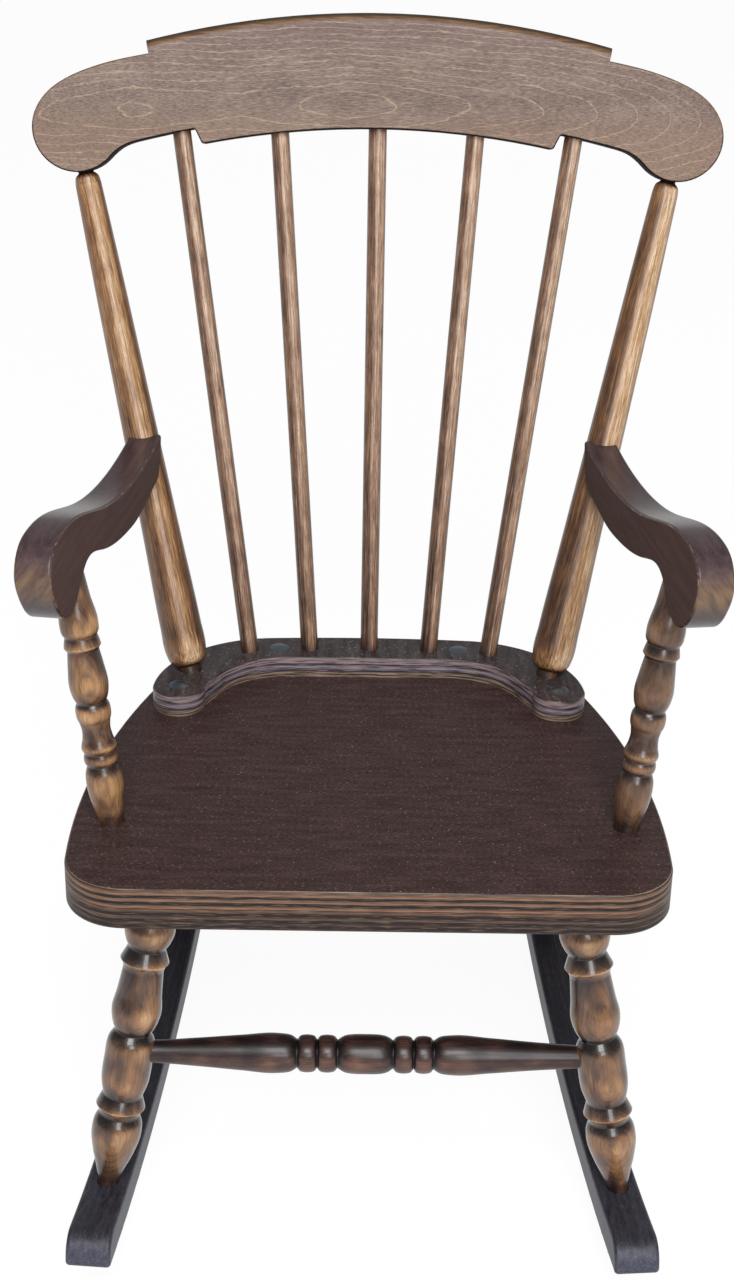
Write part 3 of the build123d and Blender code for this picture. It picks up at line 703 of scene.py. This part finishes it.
# %% [markdown]
# ## Arms
#
# The arms are sawn from thick beech board and stained dark. Their flat sides are matt and plain,
# their tops are sanded round and glossy, and hands have worn the roll at the front down to the
# amber wood. The worn place is a soft band across the roll, drawn as slanting strokes, and the
# arrises between top and sides are chipped pale here and there.

# %% The arms' finish
ARM_FRONT = 177.3, 94.0
ARM_BACK = 150.8, 297.3
STROKE_SLANT = 0.6
STROKE_LONG = 26.0
STROKE_WIDE = 4.0


def arm_finish(name, side):
    """Matt dark sides, a glossy top, and a front roll worn to amber below its middle."""
    material, tree = new_material(name)
    front = np.array([side * ARM_FRONT[0], ARM_FRONT[1]])
    back = np.array([side * ARM_BACK[0], ARM_BACK[1]])
    way = (back - front) / np.linalg.norm(back - front)
    along = way[0] * X + way[1] * SEAT_BACK
    out = np.cross(along, SEAT_UP)
    place = timber_place(tree, at_seat(*front, 0.0), [SEAT_UP, out, along])
    coarse = fibres(tree, place, 3.0, 40.0, 2.0)
    fine = fibres(tree, place, 0.5, 6.0, 2.0)
    tone = weighed(tree, 0.5, (coarse, 0.5), (fine, 0.5))
    top = add(tree, "ValToRGB", {0: tone}, stops=[
        (0.3, "#33262a"), (0.5, "#463639"), (0.7, "#5b494a")])
    flat = add(tree, "ValToRGB", {0: tone}, stops=[
        (0.3, "#4e3935"), (0.5, "#5b4540"), (0.7, "#684f49")])
    height = add(tree, "SeparateXYZ", {0: place}, "X")
    behind = add(tree, "SeparateXYZ", {0: place}, "Z")
    # a texture mapping turns before it scales, so the strokes slant without a shear
    strokes = add(tree, "Mapping", {
        "Vector": place, "Rotation": (0.0, 0.0, -STROKE_SLANT * side),
        "Scale": (STROKE_LONG, STROKE_WIDE, STROKE_LONG),
    }, vector_type="TEXTURE")
    strokes = add(tree, "TexNoise", {"Vector": strokes, "Scale": 1.0, "Detail": 2.0})
    wear_and_highlight = add(tree, "MapRange", {0: strokes, 1: 0.3, 2: 0.66, 3: 0.2, 4: 0.8}, **SMOOTH)
    # the band lies between these heights over the seat, and only on the roll
    for measure, none, full in ((height, 192.0, 173.0), (height, 154.0, 172.0),
                                (behind, -40.0, -50.0)):
        share = add(tree, "MapRange", {0: measure, 1: none, 2: full}, **SMOOTH)
        wear_and_highlight = add(tree, "Math", {0: wear_and_highlight, 1: share}, operation="MULTIPLY")
    top = add(tree, "MixRGB", {0: wear_and_highlight, 1: top, 2: "#8f7458"})
    is_flat = facing(tree, out, 0.86, 0.98)
    colour = add(tree, "MixRGB", {0: is_flat, 1: top, 2: flat})
    arris = facing(tree, out, 0.35, 0.75)
    arris = add(tree, "Math", {0: arris, 1: is_flat}, operation="SUBTRACT")
    chipped = fibres(tree, place, 2.2, 7.0, 2.0)
    chipped = add(tree, "MapRange", {0: chipped, 1: 0.56, 2: 0.66, 3: 0.0, 4: 0.5}, **SMOOTH)
    arris = add(tree, "Math", {0: arris, 1: chipped}, operation="MULTIPLY")
    colour = add(tree, "MixRGB", {0: arris, 1: colour, 2: "#a58b72"})
    rough = add(tree, "Math", {0: is_flat, 1: 0.6, 2: 0.3}, operation="MULTIPLY_ADD")
    varnish(tree, colour, fine, rough, depth=0.06, specular=0.3)
    return material


# %% [markdown]
# ## Rockers
#
# The rockers are sawn on the curve from the same board, and stained almost black. Their sides and
# ends get a painted blue-grey sheen of reflected light, and some dust lies on them. Top, sides and
# ends each face their own way, so a blend by direction puts the painted sheen on without a second
# material.

# %% The rockers' finish
def rocker_finish(name, side):
    """Near-black stain on top, and a painted blue-grey sheen of reflected light on the sides and end
    faces.
    """
    material, tree = new_material(name)
    along = np.array([-side * math.sin(TOE_OUT), math.cos(TOE_OUT), 0.0])
    up = np.array([0.0, 0.0, 1.0])
    out = np.cross(along, up)
    place = timber_place(tree, on_rocker(side, BALANCE_Y), [up, out, along])
    coarse = fibres(tree, place, 2.5, 45.0, 3.0)
    fine = fibres(tree, place, 0.6, 5.0, 2.0)
    tone = weighed(tree, 0.5, (coarse, 0.6), (fine, 0.6))
    top = add(tree, "ValToRGB", {0: tone}, stops=[
        (0.3, "#1f1e25"), (0.5, "#2f2e37"), (0.7, "#45424a")])
    # painted sheen: blue-grey reflected light on the sides and the ends
    painted_sheen = add(tree, "ValToRGB", {0: tone}, stops=[
        (0.3, "#33343f"), (0.5, "#454653"), (0.7, "#5a5b69")])
    colour = add(tree, "MixRGB", {0: facing(tree, out, 0.6, 0.95), 1: top, 2: painted_sheen})
    colour = add(tree, "MixRGB", {0: facing(tree, along, 0.35, 0.8), 1: colour, 2: painted_sheen})
    dust = fibres(tree, place, 1.1, 1.1, 1.0)
    dust = add(tree, "MapRange", {0: dust, 1: 0.72, 2: 0.78, 3: 0.0, 4: 0.4}, **SMOOTH)
    colour = add(tree, "MixRGB", {0: dust, 1: colour, 2: "#8b8780"})
    varnish(tree, colour, fine, 0.45, specular=0.3)
    return material


# %% [markdown]
# ## Plywood seat and collar
#
# Plywood is glued up from thin sheets whose fibres run crosswise in turn. On the sawn edge the
# sheets that show end grain drink the stain and turn nearly black, and the others stay brown. A
# colour ramp over the height in the board draws them, and it turns the board's corners by itself,
# which strips of faces would not.

# %% The plywood's finish
def plywood_finish(name, grain, sheets, streaks, drunk, face_tones, mottle, rough):
    """Stained plywood: a face veneer above, and on the edges the sheets seen end on.

    grain is the direction of the face's fibres. sheets are (height, colour) from the bottom
    up, and streaks are the dark and the pale colour of the fibres across them. drunk is how
    strongly they show, and mottle the weight of the face's short flecks.
    """
    material, tree = new_material(name)
    other = np.cross(SEAT_UP, grain)
    place = timber_place(tree, SEAT_FRONT, [other, SEAT_UP, grain])
    level = add(tree, "SeparateXYZ", {0: place}, "Y")
    # fibres on the edge are 14 mm long and 0.7 mm thick, and the sheets waver by a few tenths
    thin = add(tree, "Mapping", {"Vector": place, "Scale": (0.07, 1.5, 0.07)})
    thin = add(tree, "TexNoise", {"Vector": thin, "Scale": 1.0, "Detail": 3.0})
    waver = add(tree, "Mapping", {"Vector": place, "Scale": (1 / 50, 1 / 20, 1 / 50)})
    waver = add(tree, "TexNoise", {"Vector": waver, "Scale": 1.0, "Detail": 1.0})
    level = weighed(tree, level, (waver, 1.0))
    bottom, top = sheets[0][0], sheets[-1][0]
    share = add(tree, "MapRange", {0: level, 1: bottom, 2: top})
    stops = [((height - bottom) / (top - bottom), colour) for height, colour in sheets]
    edge = add(tree, "ValToRGB", {0: share}, stops=stops)
    dark = add(tree, "MapRange", {0: thin, 1: 0.48, 2: 0.60, 3: 0.0, 4: drunk}, **SMOOTH)
    edge = add(tree, "MixRGB", {0: dark, 1: edge, 2: streaks[0]})
    pale = add(tree, "MapRange", {0: thin, 1: 0.46, 2: 0.36, 3: 0.0, 4: 0.7 * drunk}, **SMOOTH)
    edge = add(tree, "MixRGB", {0: pale, 1: edge, 2: streaks[1]})
    coarse = fibres(tree, place, 5.0, 30.0, 2.0)
    fine = fibres(tree, place, 0.7, 2.4, 2.0)
    tone = weighed(tree, 0.5, (coarse, 0.5), (fine, mottle))
    steps = [(0.3 + 0.4 * i / (len(face_tones) - 1), c) for i, c in enumerate(face_tones)]
    veneer = add(tree, "ValToRGB", {0: tone}, stops=steps)
    # knocks and dust in the face, from 1 to 2 mm across
    speck = add(tree, "TexNoise", {"Vector": place, "Scale": 0.7, "Detail": 1.0})
    speck = add(tree, "MapRange", {0: speck, 1: 0.68, 2: 0.75, 3: 0.0, 4: 0.7}, **SMOOTH)
    veneer = add(tree, "MixRGB", {0: speck, 1: veneer, 2: "#a39a94"})
    colour = add(tree, "MixRGB", {0: facing(tree, SEAT_UP, 0.75, 0.93), 1: edge, 2: veneer})
    varnish(tree, colour, fine, rough, coat=0.05, coat_rough=0.3, depth=0.04, specular=0.35)
    return material


# %% [markdown]
# The seat is a 27 mm board of thirteen sheets, with a worn, pale arris on top. Those of its lower
# half stayed darker, and its face veneer has its fibres from side to side. The collar's sheets
# have a mauve and slate tint, which is a painted sheen of reflected light over their own dark and
# amber colours, and its veneer runs from front to back.

# %% The sheets of the seat and of the collar
INK, MURK, BARK, TAN, STRAW = "#18100f", "#3f2f2b", "#624638", "#8d6953", "#c2a88e"
SEAT_SHEETS = [
    (-27.0, "#2b201b"), (-25.3, MURK), (-24.6, INK), (-23.2, INK), (-22.7, MURK),
    (-21.8, MURK), (-21.3, INK), (-19.4, INK), (-19.0, BARK), (-17.6, MURK),
    (-17.1, INK), (-15.1, INK), (-14.5, BARK), (-13.1, BARK), (-12.7, INK),
    (-12.0, TAN), (-10.6, BARK), (-10.0, INK), (-8.2, INK), (-7.7, TAN),
    (-6.0, BARK), (-5.6, INK), (-4.1, INK), (-3.5, TAN), (-1.5, BARK),
    (-0.6, INK), (-0.2, STRAW),
]
seat_material = plywood_finish(
    "plywood_dark_stain_seat", X, SEAT_SHEETS, streaks=(INK, "#a3866a"), drunk=0.4,
    face_tones=["#271918", "#352322", "#422f2d", "#53403d"], mottle=1.1, rough=0.5)
# the mauve and slate colours are a painted sheen of reflected light on the collar's edge
SHADE, MAUVE_SHEEN, SLATE_SHEEN, AMBER = "#2a2326", "#948488", "#615d6c", "#97806a"
COLLAR_SHEETS = [
    (0.0, SHADE), (0.7, AMBER), (1.8, SHADE), (2.8, AMBER), (4.0, "#6d5a4c"), (4.8, SHADE),
    (5.8, SLATE_SHEEN), (7.5, MAUVE_SHEEN), (8.8, SLATE_SHEEN), (9.8, SHADE), (10.6, MAUVE_SHEEN), (12.6, "#8a7071"),
    (13.6, MAUVE_SHEEN), (14.3, SHADE), (15.0, "#554a48"),
]
collar_material = plywood_finish(
    "plywood_dark_stain_collar", SEAT_BACK, COLLAR_SHEETS, streaks=(SHADE, "#9b8886"), drunk=0.75,
    face_tones=["#241d1e", "#332b2c", "#443b3c", "#5f5656"], mottle=0.5, rough=0.4)
print("height of the sheets:", SEAT_SHEETS[-1][0] - SEAT_SHEETS[0][0], "and", COLLAR_SHEETS[-1][0])

# %% [markdown]
# ## Caps and screws
#
# Press-in plastic caps hide the screws that hold the collar, and one more hides the screw of each
# arm behind its post. They are moulded blue-black, and shinier than anything near them. The screws
# are zinc plated steel, of which almost nothing shows. Neither has a pattern that the eye could
# see at this distance, so one plain shader each is enough.

# %% Plastic and steel
cap_material, tree = new_material("blue_black_plastic_caps")
shader = add(tree, "BsdfPrincipled", {
    "Base Color": "#333f48", "Roughness": 0.25, "Coat Weight": 0.5, "Coat Roughness": 0.08})
add(tree, "OutputMaterial", {"Surface": shader})
steel_material, tree = new_material("zinc_plated_steel_screws")
shader = add(tree, "BsdfPrincipled", {"Base Color": "#b9b9b6", "Metallic": 1.0, "Roughness": 0.35})
add(tree, "OutputMaterial", {"Surface": shader})

# %% [markdown]
# The solids that stay as they are get their finishes here. Each arm and rocker has a material of
# its own, because its fibres run its own way.

# %% Finishes of the solids
finishes = {
    "crest_rail": crest_material,
    "seat": seat_material,
    "seat_collar": collar_material,
    "collar_screw_caps": cap_material,
    "arm_screw_caps": cap_material,
    "collar_screws": steel_material,
    "arm_screws": steel_material,
    "rocker_screws": steel_material,
}
for word, side in SIDES.items():
    finishes[f"arm_{word}"] = arm_finish(f"beech_dark_stain_arm_{word}", side)
    finishes[f"rocker_{word}"] = rocker_finish(f"beech_black_stain_rocker_{word}", side)
for node, material in finishes.items():
    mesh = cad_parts[node].data
    mesh.materials.clear()
    mesh.materials.append(material)
print("solids with a finish:", len(finishes))

# %% [markdown]
# ## Floor
#
# The chair stands on a plain pale floor. A white one would light the chair too strongly from
# below. So the light that falls on it bounces off as from pale grey, and only what looks at it
# sees it nearly white. The share of plain floor that is still seen keeps the shadow.

# %% Floor
GLOW_SEEN = 0.85
FLOOR_GREY = (0.62, 0.62, 0.62, 1.0)
material, tree = new_material("pale_floor")
camera_ray = add(tree, "LightPath", out="Is Camera Ray")
glossy_ray = add(tree, "LightPath", out="Is Glossy Ray")
clear_ray = add(tree, "LightPath", out="Is Transmission Ray")
seen = add(tree, "Math", {0: camera_ray, 1: glossy_ray}, operation="ADD")
seen = add(tree, "Math", {0: seen, 1: clear_ray}, operation="ADD", use_clamp=True)
share = add(tree, "Math", {0: seen, 1: GLOW_SEEN}, operation="MULTIPLY")
plain = add(tree, "BsdfDiffuse", {"Color": FLOOR_GREY})
glow = add(tree, "Emission", {"Color": (1.0, 1.0, 1.0, 1.0), "Strength": 1.1})
both = add(tree, "MixShader", {0: share, 1: plain, 2: glow})
add(tree, "OutputMaterial", {"Surface": both})
bpy.ops.mesh.primitive_plane_add(size=14.0)
floor = bpy.context.object
floor.name = "floor"
floor.data.materials.append(material)
print("floor in m:", list(floor.dimensions))

# %% [markdown]
# ## Light
#
# A soft white surround and two soft lamps in front, the larger one high up. Round parts are then
# bright in the middle and dark at their sides, and the varnish shows long soft glints, where
# small lamps would leave hard spots. Places and sizes are in metres, and powers in watts.

# %% Light
CHAIR_MIDDLE = (0.0, 0.0, 0.35)
LAMPS = (
    ("key", (0.05, -1.7, 2.4), 1.2, 54.0),
    ("fill", (0.4, -2.2, 1.3), 0.8, 18.0),
)
world = bpy.context.scene.world or bpy.data.worlds.new("studio")
bpy.context.scene.world = world
world.use_nodes = True
background = world.node_tree.nodes["Background"]
background.inputs["Color"].default_value = (1.0, 1.0, 1.0, 1.0)
background.inputs["Strength"].default_value = 0.3
for name, spot, size, power in LAMPS:
    light = bpy.data.lights.new(name, "AREA")
    light.size = size
    light.energy = power
    lamp = bpy.data.objects.new(name, light)
    bpy.context.scene.collection.objects.link(lamp)
    lamp.location = spot
    aim = np.array(CHAIR_MIDDLE) - np.array(spot)
    lamp.rotation_euler = (
        math.atan2(math.hypot(aim[0], aim[1]), -aim[2]), 0,
        math.atan2(aim[1], aim[0]) - math.pi / 2,
    )
print("lamps:", len(LAMPS))

# %% [markdown]
# ## Camera
#
# An adult stands close in front of the chair and looks down on it, so the back leans away and the
# seat's top shows. A view from straight ahead would hide the seat and the bow of the crest.

# %% Camera
EYE = (-0.01165, -1.08945, 0.95111)
TILT_ROLL_TURN = (59.99, -0.957, 0.070)
camera_data = bpy.data.cameras.new("camera")
camera_data.sensor_width = 36.0
camera_data.lens = 56.25
camera = bpy.data.objects.new("camera", camera_data)
bpy.context.scene.collection.objects.link(camera)
camera.location = EYE
camera.rotation_euler = Euler([math.radians(angle) for angle in TILT_ROLL_TURN])
bpy.context.scene.camera = camera
bpy.context.scene.view_settings.view_transform = "Standard"
print("eye height:", round(EYE[2], 2), "m")
